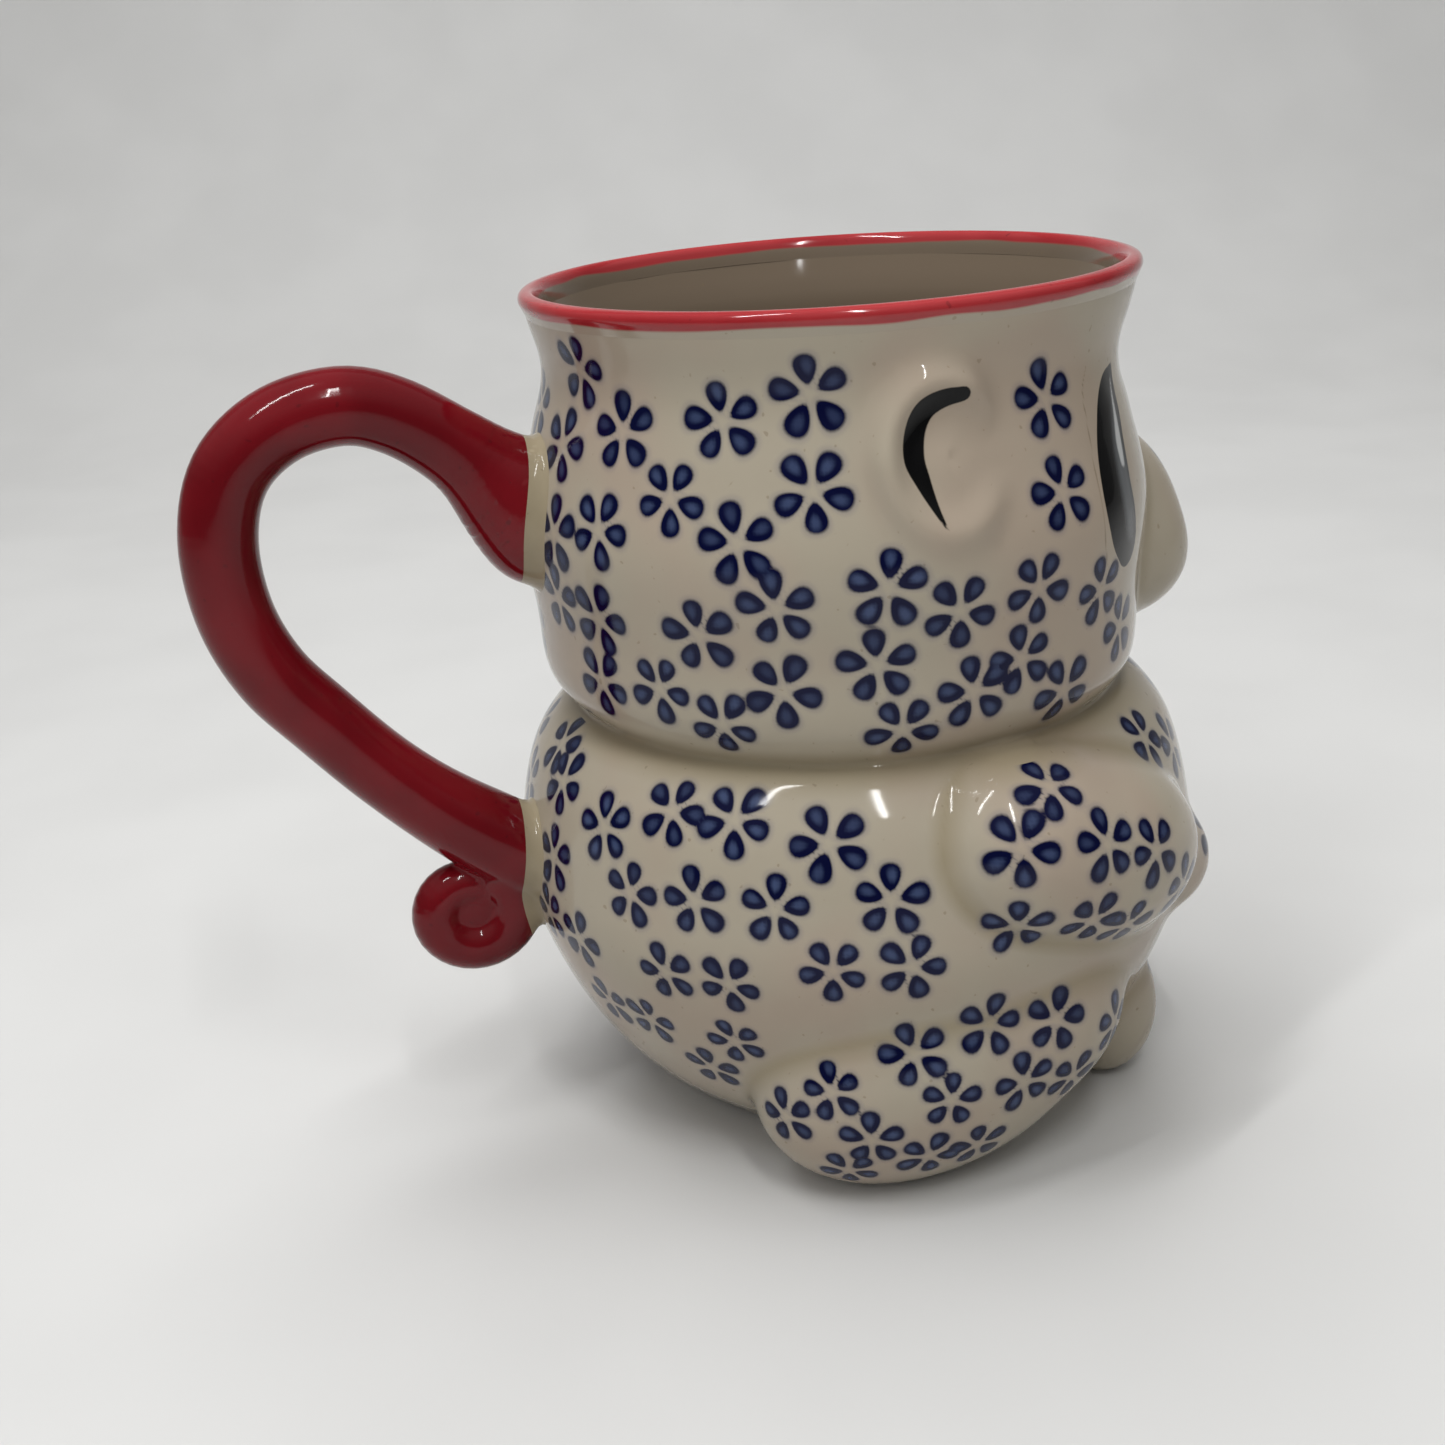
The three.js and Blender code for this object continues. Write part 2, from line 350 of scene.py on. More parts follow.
def owners():
    """0 for the turned wall, or 1 + the number of the lump in LUMPS, for each grid vertex."""
    kinds = ["wall", "arm", "leg", "foot", "muzzle"]
    nearest = np.argmin(np.stack([DISTANCES[kind] for kind in kinds]), axis=0)
    right = (ANGLES < 180)[None, :]
    found = np.zeros(RADIUS.shape, int)

    def claim(name, where):
        found[where & (found == 0)] = 1 + LUMPS.index(name)

    for number, kind in enumerate(kinds[1:4], start=1):
        claim(kind + "_right", (nearest == number) & right)
        claim(kind + "_left", (nearest == number) & ~right)
    claim("muzzle", nearest == 4)
    claim("ear_right", (EAR > EAR_EDGE) & right)
    claim("ear_left", (EAR > EAR_EDGE) & ~right)
    return found


OWNER = owners()
UNDER = np.minimum(RADIUS, BASE_RADIUS_ROWS[:, None]) - UNDER_DEPTH


# ---- paint: signed distances in millimetres, negative inside a mark ----
FAR = 9.0
PETALS = 5
PETAL_CENTRE = 2.95  # from the middle of the flower
PETAL_HALF = (1.88, 1.34)
PETAL_TAPER = 0.4
SEAM_HALF = 0.3  # a stamp doesn't print into the crease at the waist or beyond it
BLOTCH_OUT = 0.3  # the pale spot in each petal, from the petal's middle
BLOTCH_HALF = (0.86, 0.55)
BLOTCH_TAPER = 0.2
FLOWER_REACH = 6.5
OUT_OF_REACH = 50.0


def egg(x, y, half_length, half_width, taper):
    """Distance to an egg whose narrow end points to -x."""
    s = x / half_length
    w = y / (half_width * np.clip(1 + taper * s, 0.2, 2))
    return (np.hypot(s, w) - 1) * half_width


def surface_frame(angle, z):
    """A point of the outer surface and its sideways and upward directions."""
    i = int(np.argmin(np.abs(Z_ROWS - z)))
    j = int(round(angle / 360 * GRID_COLUMNS)) % GRID_COLUMNS
    normal = NORMALS[max(i - 3, 0):i + 4, np.arange(j - 3, j + 4) % GRID_COLUMNS].mean(axis=(0, 1))
    normal /= np.linalg.norm(normal)
    side = np.cross(normal, [0, 0, 1.0])
    side /= np.linalg.norm(side)
    return i, j, SURFACE[i, j], side, np.cross(side, normal)


def near(angle, z, reach):
    """Grid rows, columns and local sideways and upward distances of the vertices round a point."""
    i, j, centre, side, up = surface_frame(angle, z)
    tall = int(1.6 * reach / GRID_STEP)
    rows = np.arange(max(0, i - tall), min(len(Z_ROWS), i + tall))
    span = int(2.2 * reach / (2 * np.pi * 40 / GRID_COLUMNS))
    columns = np.arange(j - span, j + span) % GRID_COLUMNS
    block = np.ix_(rows, columns)
    d = SURFACE[block] - centre
    close = np.linalg.norm(d, axis=2) < reach * 1.5
    return block, np.where(close, d @ side, OUT_OF_REACH), np.where(close, d @ up, OUT_OF_REACH)


def stamp(paint, angle, z, turn, rng):
    """One five-petal flower, at a place and turn in degrees."""
    block, u, v = near(angle, z, FLOWER_REACH)
    across = (Z_ROWS[block[0]] - WAIST) * np.sign(z - WAIST) < SEAM_HALF
    u = np.where(across, OUT_OF_REACH, u)
    size = rng.uniform(0.95, 1.05) * np.interp(z, [20, 50, 90], [0.9, 1.0, 1.06])
    depth = rng.uniform(0, 1)
    for k in range(PETALS):
        a = np.radians(turn + 72 * k + rng.uniform(-4, 4))
        grow = size * rng.uniform(0.94, 1.06)
        x = (u * np.sin(a) + v * np.cos(a)) / grow - PETAL_CENTRE
        y = (u * np.cos(a) - v * np.sin(a)) / grow
        petal = egg(x, y, *PETAL_HALF, PETAL_TAPER)
        shift = rng.uniform(-0.25, 0.25, 2)
        blotch = egg(x - BLOTCH_OUT - shift[0], y - shift[1], *BLOTCH_HALF, BLOTCH_TAPER)
        mine = petal < paint["petal"][block]
        paint["blotch"][block] = np.where(mine, blotch, paint["blotch"][block])
        paint["tone"][block] = np.where(mine, 0.7 * depth + rng.uniform(0, 0.3), paint["tone"][block])
        paint["petal"][block] = np.minimum(paint["petal"][block], petal)


def stroke(paint, key, line):
    """A brush stroke along points of (angle, height, half width)."""
    line = np.array(line, float)
    path = spline(line, 60)
    centre_angle, centre_z = path[:, 0].mean(), path[:, 1].mean()
    reach = 1.5 * np.ptp(path[:, 1]) + 3
    block, _, _ = near(centre_angle, centre_z, reach)
    angle = np.broadcast_to(ANGLES[block[1]], (block[0].size, block[1].size))
    z = np.broadcast_to(Z_ROWS[block[0]], angle.shape)
    radius = BASE_RADIUS_ROWS[block[0]]
    best = np.full(angle.shape, FAR)
    for a, b in zip(path[:-1], path[1:]):
        gap = (angle - a[0] + 180) % 360 - 180
        px, pz = np.radians(gap) * radius, z - a[1]
        bx, bz = np.radians(b[0] - a[0]) * radius, b[1] - a[1]
        t = np.clip((px * bx + pz * bz) / np.maximum(bx**2 + bz**2, 1e-9), 0, 1)
        d = np.hypot(px - t * bx, pz - t * bz) - (a[2] + t * (b[2] - a[2]))
        best = np.minimum(best, d)
    paint[key][block] = np.minimum(paint[key][block], best)


def both_sides(line):
    """A line of paint and its mirror image."""
    return [line, [(360 - a, z, w) for a, z, w in line]]


# Each flower is an angle round from the face, a height, and how far one petal leans towards the tail.
HEAD_FLOWERS = [
    (162, 111, -14), (150, 104, 9), (167, 101, -17), (166, 90, 3), (153, 92, -24), (155, 80, -20),
    (167, 81, -6), (157, 71, -33), (143, 72, -30), (134, 80, 10), (131, 68, 35), (129, 106, 13),
    (114, 109, 8), (114, 98, -33), (138, 97, -33), (126, 92, 12), (120, 84, 8), (120, 73, -30),
    (103, 86, -5), (105, 76, 4), (101, 67, -38), (91, 82, -32), (77, 83, -34), (80, 74, 12), (89, 71, 8),
    (62, 80, 14), (70, 105, 6), (71, 94, 10), (70, 68, 27), (53, 73, 15),
]
BELLY_FLOWERS = [
    (47, 56, -40), (36, 52, 0), (114, 54, 21), (105, 47, -5), (122, 46, -3), (114, 38, 30), (102, 38, -20),
    (141, 56, -16), (129, 56, -34), (135, 46, 14), (154, 52, 14), (169, 55, -20), (177, 58, 0), (168, 45, 2),
    (147, 45, -8), (141, 35, 18), (130, 35, -32), (131, 25, 22), (148, 25, -10), (158, 25, 10), (138, 18, 0),
    (160, 35, -20), (170, 36, 20),
]
LIMB_FLOWERS = [
    (80, 59, 15), (87, 53, -32), (74, 51, -2), (65, 48, 12), (87, 42, 0), (76, 41, -35), (69, 38, -20),
    (57, 40, 0), (102, 25, 16), (90, 27, -14), (79, 26, -20), (66, 21, -10), (85, 18, 10), (75, 16, -30),
    (97, 18, -10), (109, 13, 0), (115, 20, 15), (123, 15, 20), (113, 7, 30), (100, 9, -25), (92, 9, 10),
]
FLOWER_SPACING = 9.3  # least distance between scattered flowers
HIDDEN_SIDE = (183, 395)  # angles of the scattered flowers
HIDDEN_HEIGHTS = (5, 111)
HIDDEN_TRIES = 9000
MOST_LEAN = 36
LEDGE = 1.3  # a step between neighbouring vertices that counts as steep
PLAIN_CREASE = 3.2  # no flowers within this height of the waist

EAR_STROKE = [
    (88.6, 107.8, 0.95), (92, 107.4, 1.25), (95, 106.3, 1.4), (96.8, 104, 1.35), (97.4, 101, 1.3),
    (96.3, 98.2, 0.95), (94.7, 94.9, 0.45), (93.3, 92.3, 0.06),
]
EYE = [
    (44, 106.2, 0.3), (49.2, 102.6, 3.0), (53.2, 98, 4.1), (55.2, 92.5, 4.3), (54.6, 88, 4.2),
    (52.6, 84.6, 3.2),
]
# painted reflection: a soft grey streak down the right half of each eye, standing in for the glossy glaze
# mirroring the room
EYE_PAINTED_REFLECTION = [(47, 103, 0.6), (50.5, 98, 1.6), (52, 92.5, 2.0), (52, 88, 1.8), (51.5, 85.5, 1.0)]
EYE_GLINT = [(45.8, 104.8, 0.12), (48.6, 101, 0.4), (50.4, 97.5, 0.85), (51.2, 94.8, 0.6)]
NOSE = [(355.5, 87.2, 2.3), (364.5, 87.2, 2.3)]
MASK_LINE = [
    (57, 107.5, 0.14), (60, 104, 0.14), (61.6, 96, 0.14), (61.9, 90, 0.14), (61.6, 86, 0.14),
    (60.6, 83, 0.14),
]


def may_flower(angle, z):
    """Whether a flower belongs here on the sides whose flowers are not listed one by one."""
    i = int(np.argmin(np.abs(Z_ROWS - z)))
    j = int(round(angle / 360 * GRID_COLUMNS)) % GRID_COLUMNS
    clay_name = LUMPS[OWNER[i, j] - 1] if OWNER[i, j] else "wall"
    if clay_name.split("_")[0] in ("foot", "muzzle", "ear"):
        return False
    from_face = min(angle, 360 - angle)
    on_mask = from_face < 65 and z > 76 or from_face < 32 and z > 62
    by_ear = abs(from_face - EAR_ANGLE) < 16 and z > 87
    return not (on_mask or by_ear or abs(z - WAIST) < PLAIN_CREASE)


def flowers():
    """The flowers listed one by one for the animal's right, and scattered ones on the rest."""
    rng = np.random.default_rng(23)
    found = HEAD_FLOWERS + BELLY_FLOWERS + LIMB_FLOWERS
    places = [surface_frame(angle, z)[2] for angle, z, _ in found]
    for _ in range(HIDDEN_TRIES):
        angle = rng.uniform(*HIDDEN_SIDE) % 360
        z = rng.uniform(*HIDDEN_HEIGHTS)
        if not may_flower(angle, z):
            continue
        place = surface_frame(angle, z)[2]
        if np.linalg.norm(np.array(places) - place, axis=1).min() > FLOWER_SPACING:
            found.append((angle, z, rng.uniform(-MOST_LEAN, MOST_LEAN)))
            places.append(place)
    return found


def inside_ledges():
    """The vertices at the inner edge of a steep step, where one face is too wide to carry a pattern."""
    rise = np.diff(RADIUS, axis=0)
    turn = np.roll(RADIUS, -1, axis=1) - RADIUS
    inner = np.zeros(RADIUS.shape, bool)
    inner[1:] |= rise < -LEDGE
    inner[:-1] |= rise > LEDGE
    inner |= turn > LEDGE
    return inner | np.roll(turn < -LEDGE, 1, axis=1)


def painted():
    """Every mark on the grid, as a distance to its outline, with the eyes' painted reflection among them;
    tone is how dark a petal is stamped.
    """
    keys = ("petal", "blotch", "black", "painted_reflection", "glint", "hairline")
    paint = {key: np.full(RADIUS.shape, FAR) for key in keys}
    paint["tone"] = np.zeros(RADIUS.shape)
    rng = np.random.default_rng(11)
    for angle, z, turn in flowers():
        stamp(paint, angle, z, turn, rng)
    # the grey streak on each eye among these marks is a painted reflection
    marks = (
        ("black", EAR_STROKE), ("black", EYE), ("painted_reflection", EYE_PAINTED_REFLECTION), ("glint", EYE_GLINT),
        ("hairline", MASK_LINE), ("black", NOSE),
    )
    for key, line in marks:
        for side_line in both_sides(line):
            stroke(paint, key, side_line)
    paint["petal"][inside_ledges()] = FAR
    return paint


PAINT = painted()


POOL_AT_WAIST = 3.0
POOL_AT_LUMPS = 2.2


def pooled_glaze():
    """1 in the creases between lumps of clay, where the glaze lies thick, and 0 away from them."""
    waist = 1 - np.abs(Z_ROWS[:, None] - WAIST) / POOL_AT_WAIST
    total = np.broadcast_to(waist, RADIUS.shape).copy()
    for kind in ("arm", "leg", "foot", "muzzle"):
        gap = np.abs(DISTANCES[kind] - DISTANCES["wall"]) + 0.3 * np.abs(DISTANCES[kind])
        total = np.maximum(total, 1 - gap / POOL_AT_LUMPS)
    return np.clip(total, 0, 1)


PAINT["pool"] = pooled_glaze()
PAINT["inside"] = np.zeros(RADIUS.shape)
PAINT["band"] = np.full(RADIUS.shape, -FAR)


# ---- meshes ----
def make_mesh(name, points, faces, normals, values):
    """points (n, 3) in millimetres; faces and normals are lists of (m, k) and (m, k, 3) arrays."""
    mesh = bpy.data.meshes.new(name)
    mesh.vertices.add(len(points))
    mesh.vertices.foreach_set("co", (points * MM).astype(np.float32).ravel())
    corners = np.concatenate([f.ravel() for f in faces])
    sizes = np.concatenate([np.full(len(f), f.shape[1]) for f in faces])
    mesh.loops.add(len(corners))
    mesh.loops.foreach_set("vertex_index", corners.astype(np.int32))
    mesh.polygons.add(len(sizes))
    mesh.polygons.foreach_set("loop_start", np.concatenate([[0], np.cumsum(sizes)[:-1]]).astype(np.int32))
    mesh.update(calc_edges=True)
    mesh.polygons.foreach_set("use_smooth", np.ones(len(sizes), bool))
    flat = np.concatenate([n.reshape(-1, 3) for n in normals])
    for key, value in values.items():
        layer = mesh.attributes.new(key, "FLOAT", "POINT")
        layer.data.foreach_set("value", value.astype(np.float32))
    mesh.normals_split_custom_set(flat.astype(np.float32))
    obj = bpy.data.objects.new(name, mesh)
    bpy.context.scene.collection.objects.link(obj)
    return obj


def face_normals(points, faces):
    a, b, c = points[faces[:, 0]], points[faces[:, 1]], points[faces[:, 2]]
    n = np.cross(b - a, c - a)
    n /= np.maximum(np.linalg.norm(n, axis=1, keepdims=True), 1e-12)
    return np.repeat(n[:, None, :], faces.shape[1], axis=1)


def grid_faces(rows, columns):
    """Quads of a grid that closes round its columns, facing outwards as rows go up."""
    i, j = np.meshgrid(np.arange(rows - 1), np.arange(columns), indexing="ij")
    k = (j + 1) % columns
    return np.stack([i * columns + j, (i + 1) * columns + j, (i + 1) * columns + k, i * columns + k], -1)


def open_edges(faces):
    """Directed edges that only one face uses."""
    ahead = np.roll(faces, -1, axis=1)
    edges = np.concatenate([np.stack([faces[:, k], ahead[:, k]], 1) for k in range(faces.shape[1])])
    span = int(faces.max()) + 1
    used = edges[:, 0].astype(np.int64) * span + edges[:, 1]
    back = edges[:, 1].astype(np.int64) * span + edges[:, 0]
    return edges[~np.isin(back, used)]


QUADS = grid_faces(*RADIUS.shape)
QUAD_OWNER = OWNER.ravel()[QUADS].max(axis=-1)


def lump_piece(name):
    """A closed solid: the outer skin of one lump, a copy lying on the turned wall, and sides between."""
    quads = QUADS[QUAD_OWNER == 1 + LUMPS.index(name)]
    used = np.unique(quads)
    place = np.full(RADIUS.size, -1)
    place[used] = np.arange(len(used))
    outer = SURFACE.reshape(-1, 3)[used]
    inner = around(UNDER + LUMP_GAP, Z_ROWS[:, None], ANGLES).reshape(-1, 3)[used]
    skin = place[quads]
    count = len(used)
    edges = open_edges(skin)
    sides = np.column_stack([edges[:, 1], edges[:, 0], edges[:, 0] + count, edges[:, 1] + count])
    points = np.vstack([outer, inner])
    back = skin[:, ::-1] + count
    grid_normal = NORMALS.reshape(-1, 3)[used]
    normals = [grid_normal[skin], -grid_normal[skin[:, ::-1]], face_normals(points, sides)]
    values = {key: np.tile(value.ravel()[used], 2) for key, value in PAINT.items()}
    return make_mesh(name, points, [skin, back, sides], normals, values)


def split_drops(faces, dropped):
    """Cuts quads with one dropped corner along the diagonal through it, clear of the lump's skin."""
    low = dropped[faces]
    single = low.sum(axis=1) == 1
    turned = faces[single]
    first = np.argmax(low[single], axis=1)
    corners = np.take_along_axis(turned, (first[:, None] + np.arange(4)) % 4, axis=1)
    return faces[~single], np.concatenate([corners[:, [0, 1, 2]], corners[:, [0, 2, 3]]])


def turned_piece(name, parts, closed):
    """A solid of stacked rings, from grids of (points, normals, paint, dropped); closed if it is a hoop."""
    points = np.concatenate([part[0] for part in parts])
    normals = np.concatenate([part[1] for part in parts])
    rows = len(points)
    values = {key: np.concatenate([part[2][key] for part in parts]).ravel() for key in PAINT}
    dropped = np.concatenate([part[3] for part in parts]).ravel()
    faces = grid_faces(rows, GRID_COLUMNS).reshape(-1, 4)
    flat_points = points.reshape(-1, 3)
    flat_normals = normals.reshape(-1, 3)
    first = np.arange(GRID_COLUMNS)
    last = first + (rows - 1) * GRID_COLUMNS
    if closed:
        join = np.stack([last, first, np.roll(first, -1), np.roll(last, -1)], -1)
        faces, corners = split_drops(np.concatenate([faces, join]), dropped)
    else:
        start, end = len(flat_points), len(flat_points) + 1
        poles = np.array([[0, 0, points[0, 0, 2]], [0, 0, points[-1, 0, 2]]])
        flat_points = np.vstack([flat_points, poles])
        flat_normals = np.vstack([flat_normals, [[0, 0, -1.0], [0, 0, 1.0]]])
        values = {key: np.append(value, [value[0], value[-1]]) for key, value in values.items()}
        bottom = np.stack([np.full(GRID_COLUMNS, start), first, np.roll(first, -1)], -1)
        top = np.stack([np.full(GRID_COLUMNS, end), np.roll(last, -1), last], -1)
        faces, corners = split_drops(faces, dropped)
        corners = np.concatenate([corners, bottom, top])
    normals = [flat_normals[faces], flat_normals[corners]]
    return make_mesh(name, flat_points, [faces, corners], normals, values)


def rings(section):
    """A grid of points and normals turned from a section of (radius, height)."""
    section = np.array(section, float)
    points = around(section[:, :1], section[:, 1:], ANGLES[None, :])
    return points, grid_normals(points)


def inner_section():
    """The inside of the cup, from the lip down to the middle of the floor."""
    heights = [108, 99, 88, 76, 67, 62, 58.5, 52, 41, 31, 20, 13]
    line = [(RIM_RADIUS - LIP_THICKNESS, 115.8)]
    line += [(float(body_radius(z)) - WALL, z) for z in heights]
    line += [(28, 7.0), (21, FLOOR + 0.2), (10, FLOOR), (1, FLOOR)]
    return soften(resample(spline(line, 400), 0.25), 1.2, 0.25)


INSIDE = inner_section()
INSIDE_STRIDE = 10  # the inside is plain, so its rings lie further apart
INSIDE_WAIST = int(np.argmin(np.abs(INSIDE[:, 1] - WAIST) + 99 * (INSIDE[:, 0] < 30)))
UNDERSIDE = [(2, 0.8), (12, 0.8), (22.6, 0.8), (23.4, 0.65), (24.1, 0.2), (24.6, 0), (25.2, 0)]
WALL_RADIUS = np.where(OWNER == 0, RADIUS, UNDER)
WALL_SURFACE = around(WALL_RADIUS, Z_ROWS[:, None], ANGLES)


def rows_of(first, last):
    """Rows of the outer wall, with the vertices that lie under a lump marked."""
    paint = {key: value[first:last] for key, value in PAINT.items()}
    return WALL_SURFACE[first:last], NORMALS[first:last], paint, OWNER[first:last] > 0


def plain_rings(section, inside=0.0):
    """Rings with no paint marks on them; with inside at 1 they take the painted shade of the cup's inside."""
    points, normals = rings(section)
    shape = points.shape[:2]
    paint = {key: np.full(shape, FAR) for key in PAINT}
    for key, value in (("tone", 0.0), ("pool", 0.0), ("band", -FAR), ("inside", inside)):
        paint[key] = np.full(shape, value)
    return points, normals, paint, np.zeros(shape, bool)


BAND_OUTSIDE = 2.2  # how far the red reaches down from the rim
BAND_INSIDE = 1.5
BAND_RIPPLE = 0.3


def lip_section():
    """From the outside of the wall, over the lip and down inside it."""
    outer = float(body_radius(Z_ROWS[-1]))
    inner = RIM_RADIUS - LIP_THICKNESS
    middle = RIM_RADIUS - LIP_THICKNESS / 2
    line = [
        (outer, Z_ROWS[-1]), (outer + 0.45, 116.8), (RIM_RADIUS - 0.08, 117.8), (RIM_RADIUS - 0.45, 118.7),
        (middle, RIM_TOP), (inner + 0.9, 118.5), (inner + 0.5, 117.6), (inner + 0.25, 116.8),
        (inner, Z_ROWS[-1]),
    ]
    return resample(spline(line, 200), 0.2)


def rim_piece():
    """The lip, which follows the uneven wall below it, with the edge of its red band."""
    points, normals, paint, dropped = plain_rings(lip_section())
    wobble = (RADIUS[-1] - BASE_RADIUS_ROWS[-1])[None, :, None]
    points = points + around(1.0, 0.0, ANGLES)[None] * wobble
    radius = np.hypot(points[..., 0], points[..., 1])
    inner_side = radius < RIM_RADIUS - LIP_THICKNESS / 2
    ripple = value_noise(around(40.0, 0.0, ANGLES), 7.0, 9) * BAND_RIPPLE
    edge = RIM_TOP - np.where(inner_side, BAND_INSIDE, BAND_OUTSIDE) + ripple[None, :]
    paint["band"] = points[..., 2] - edge
    # the lip's inner side carries the cup's painted shade below the red
    paint["inside"] = inner_side.astype(float)
    return turned_piece("rim_lip", [(points, normals, paint, dropped)], True)


def glaze_pieces():
    """The lumps, the two wall sections and the lip."""
    made = {name: lump_piece(name) for name in LUMPS}
    above_waist = np.append(np.arange(0, INSIDE_WAIST, INSIDE_STRIDE), INSIDE_WAIST)
    # the inside of the cup carries the painted shade
    inside_low = plain_rings(INSIDE[INSIDE_WAIST::INSIDE_STRIDE], 1.0)
    inside_high = plain_rings(INSIDE[above_waist], 1.0)
    belly = [plain_rings(UNDERSIDE), rows_of(0, WAIST_ROW + 1), inside_low]
    made["belly_wall"] = turned_piece("belly_wall", belly, False)
    made["head_wall"] = turned_piece("head_wall", [rows_of(WAIST_ROW, len(Z_ROWS)), inside_high], True)
    made["rim_lip"] = rim_piece()
    return made


GLAZED = glaze_pieces()


# ---- the tail: a flared tube and a coil, blended into the wall, with a cream collar at each end ----
TAIL_LINE = [
    (42, 90.4), (47, 94.7), (53, 100.6), (60.3, 105.8), (67.2, 107.9), (75.5, 106.3), (82, 101), (84.8, 92.5),
    (84.2, 82.5), (80.8, 73.8), (75.2, 66.4), (68, 57.8), (60.3, 50.3), (50, 42),
]
HANDLE_RADIUS = 5.1
ROOT_RADIUS = 10.0
ROOT_SQUEEZE = 0.3  # the root is taller than it is wide
ROOT_SQUEEZE_REACH = 13.0
ROOT_FLARE = 0.076  # shares of the tail's length over which its ends widen
HEEL_FLARE = 0.12
HANDLE_STEP = 1.3
HEEL_RADIUS = 6.4
CURL_CENTRE = (57.9, 35.0)
CURL_START = 0.78 * math.pi
CURL_SWEEP = 2.05 * math.pi
CURL_PATH_RADIUS = 5.8
CURL_TUBE_RADIUS = 4.2
CURL_STEPS = 36
CURL_TIGHTENING = 2.9  # how much nearer the middle the coil ends
CURL_THINNING = 1.5
CURL_WEB_HALF = (2.6, 6.0, 6.0)  # the clay that fills the coil
CURL_CREASE = 0.6
TAIL_CREASE = 1.0
NET_STEP = 0.55
NET_LOW = (-12.1, 33, 19)
NET_HIGH = (12.1, 92, 115.5)
COLLAR_WIDTH = 2.3  # the cream band between the wall and the red
COLLAR_FILLET = 2.6
COLLAR_SINK = 0.5
COLLAR_SPREAD = 2.2  # how far round the tail the band's clay reaches
COLLAR_PAINT = {key: FAR for key in PAINT} | {"tone": 0.0, "pool": 1.0, "inside": 0.0, "band": -FAR}
UNREACHED = 99.0
NET_SETTLING = 3  # passes that move the net's points onto the surface
CUT_SETTLING = 5


def stretches(p, path, radii):
    """For each straight stretch of a middle line, the distance to it and the tube's radius there."""
    for a, b, ra, rb in zip(path[:-1], path[1:], radii[:-1], radii[1:]):
        along = b - a
        q = p - a
        t = np.clip(q @ along / (along @ along), 0, 1)
        yield np.linalg.norm(q - t[:, None] * along, axis=1), ra + t * (rb - ra)


def flared_tube(p, path, radii):
    """A tube whose radius changes quickly, smooth where the stretches meet."""
    nearest = np.full(len(p), UNREACHED)
    width = np.zeros(len(p))
    for gap, radius in stretches(p, path, radii):
        closer = gap < nearest
        nearest = np.where(closer, gap, nearest)
        width = np.where(closer, radius, width)
    return nearest - width


def coiled_tube(p, path, radii):
    """A tube whose turns touch each other."""
    total = np.full(len(p), UNREACHED)
    for gap, radius in stretches(p, path, radii):
        total = np.minimum(total, gap - radius)
    return total


def handle_path():
    """The tail's middle line and its radius along it, wider at both ends."""
    line = resample(spline(TAIL_LINE, 300), HANDLE_STEP)
    t = np.linspace(0, 1, len(line))
    radius = (
        HANDLE_RADIUS
        + (ROOT_RADIUS - HANDLE_RADIUS) * np.exp(-((t / ROOT_FLARE) ** 2))
        + (HEEL_RADIUS - HANDLE_RADIUS) * np.exp(-(((1 - t) / HEEL_FLARE) ** 2))
    )
    return np.column_stack([np.zeros(len(line)), line]), radius


def curl_path():
    """The coil's middle line and its radius along it."""
    t = np.linspace(0, 1, CURL_STEPS)
    angle = CURL_START + t * CURL_SWEEP
    reach = CURL_PATH_RADIUS - CURL_TIGHTENING * smoothstep(0.5, 1.0, t)
    y = CURL_CENTRE[0] + reach * np.cos(angle)
    z = CURL_CENTRE[1] + reach * np.sin(angle)
    return np.column_stack([np.zeros(len(t)), y, z]), CURL_TUBE_RADIUS - CURL_THINNING * t**1.5


HANDLE_PATH = handle_path()
CURL_PATH = curl_path()


def tail_parts(p):
    """Distances to the handle and to the curl."""
    curl = coiled_tube(p, *CURL_PATH)
    web = ellipsoid(p, (0, *CURL_CENTRE), CURL_WEB_HALF)
    by_root = np.exp(-(((p[:, 1:] - TAIL_LINE[0]) / ROOT_SQUEEZE_REACH) ** 2).sum(axis=1))
    squeezed = p * np.column_stack([1 + ROOT_SQUEEZE * by_root, np.ones((len(p), 2))])
    return flared_tube(squeezed, *HANDLE_PATH), smooth_min(curl, web, CURL_CREASE)


def tail_distance(p):
    handle, curl = tail_parts(p)
    return smooth_min(handle, curl, TAIL_CREASE)


def wall_gap(p):
    """Distance from the turned wall."""
    return body_distance(np.hypot(p[:, 0], p[:, 1]), p[:, 2])


def rooted_distance(p):
    """The tail blended into a wall that lies a little under the real one."""
    return smooth_min(tail_distance(p), wall_gap(p) + COLLAR_SINK, COLLAR_FILLET)


